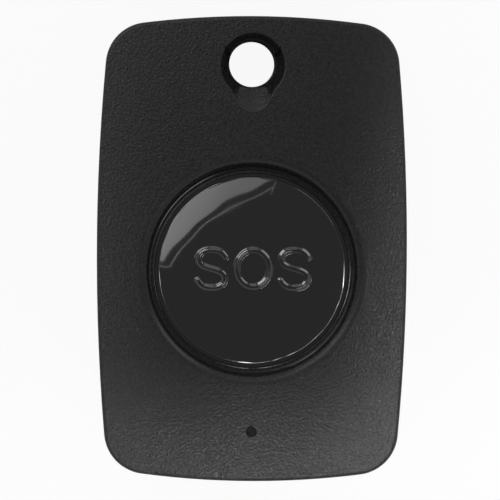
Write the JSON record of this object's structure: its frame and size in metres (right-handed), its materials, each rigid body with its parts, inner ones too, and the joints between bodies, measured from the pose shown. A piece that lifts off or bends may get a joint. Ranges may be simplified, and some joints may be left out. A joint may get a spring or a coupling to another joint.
{
  "type": "wireless panic button",
  "caption": "Black key-fob panic button with a large round domed push button, a lanyard hole in a teardrop scoop and an indicator pinhole.",
  "frame": {"origin": "centre of the flat rear face that the fob lies on", "axes": "+Z out of the front face, +Y towards the lanyard hole, +X to the right seen from the front"},
  "size_m": [0.04, 0.06, 0.013],
  "materials": {
    "case_black": "moulded black, fine leather grain",
    "button_black": "polished black",
    "seal_rubber": "soft matte",
    "clear_plastic": "clear, frosted foot",
    "screw_steel": "zinc plated",
    "board_laminate": "green solder mask",
    "cell_steel": "nickel plated",
    "holder_plastic": "moulded black",
    "contact_metal": "nickel plated spring strip",
    "switch_plastic": "moulded black",
    "plunger_plastic": "moulded black",
    "tin_plate": "tin plated",
    "lamp_resin": "cast resin",
    "chip_resin": "moulded",
    "tantalum_resin": "moulded",
    "resistor_ceramic": "glazed top, tinned ends",
    "capacitor_ceramic": "fired, tinned ends",
    "inductor_ceramic": "fired, tinned ends",
    "aerial_copper": "enamelled copper wire"
  },
  "bodies": {
    "case": {"front_cover": "case_black", "rear_cover": "case_black", "case_seal": "seal_rubber", "case_screws": "screw_steel", "button_ring": "seal_rubber", "light_guide": "clear_plastic", "circuit_board": "board_laminate", "coin_cell": "cell_steel", "battery_holder": "holder_plastic", "positive_contact": "contact_metal", "negative_contact": "contact_metal", "switch_base": "switch_plastic", "switch_plate": "tin_plate", "switch_dome": "contact_metal", "switch_terminals": "tin_plate", "indicator_led": "lamp_resin", "radio_chip": "chip_resin", "controller_chip": "chip_resin", "radio_crystal": "tin_plate", "tantalum_capacitor": "tantalum_resin", "transistor": "chip_resin", "chip_resistors": "resistor_ceramic", "chip_capacitors": "capacitor_ceramic", "chip_inductors": "inductor_ceramic", "antenna_coil": "aerial_copper"},
    "button": {"button_cap": "button_black"},
    "plunger": {"switch_plunger": "plunger_plastic"}
  },
  "joints": [
    {"name": "button_press", "type": "slide", "parent": "case", "child": "button", "axis": [0, 0, -1], "range_m": [0, 0.0003], "stiffness_N_per_m": 6000, "deforming": ["button_ring"]},
    {"name": "plunger_press", "type": "slide", "parent": "case", "child": "plunger", "axis": [0, 0, -1], "range_m": [0, 0.0003], "deforming": ["switch_dome"]}
  ],
  "couplings": [
    {"joint": "plunger_press", "follows": "button_press", "ratio": 1}
  ]
}
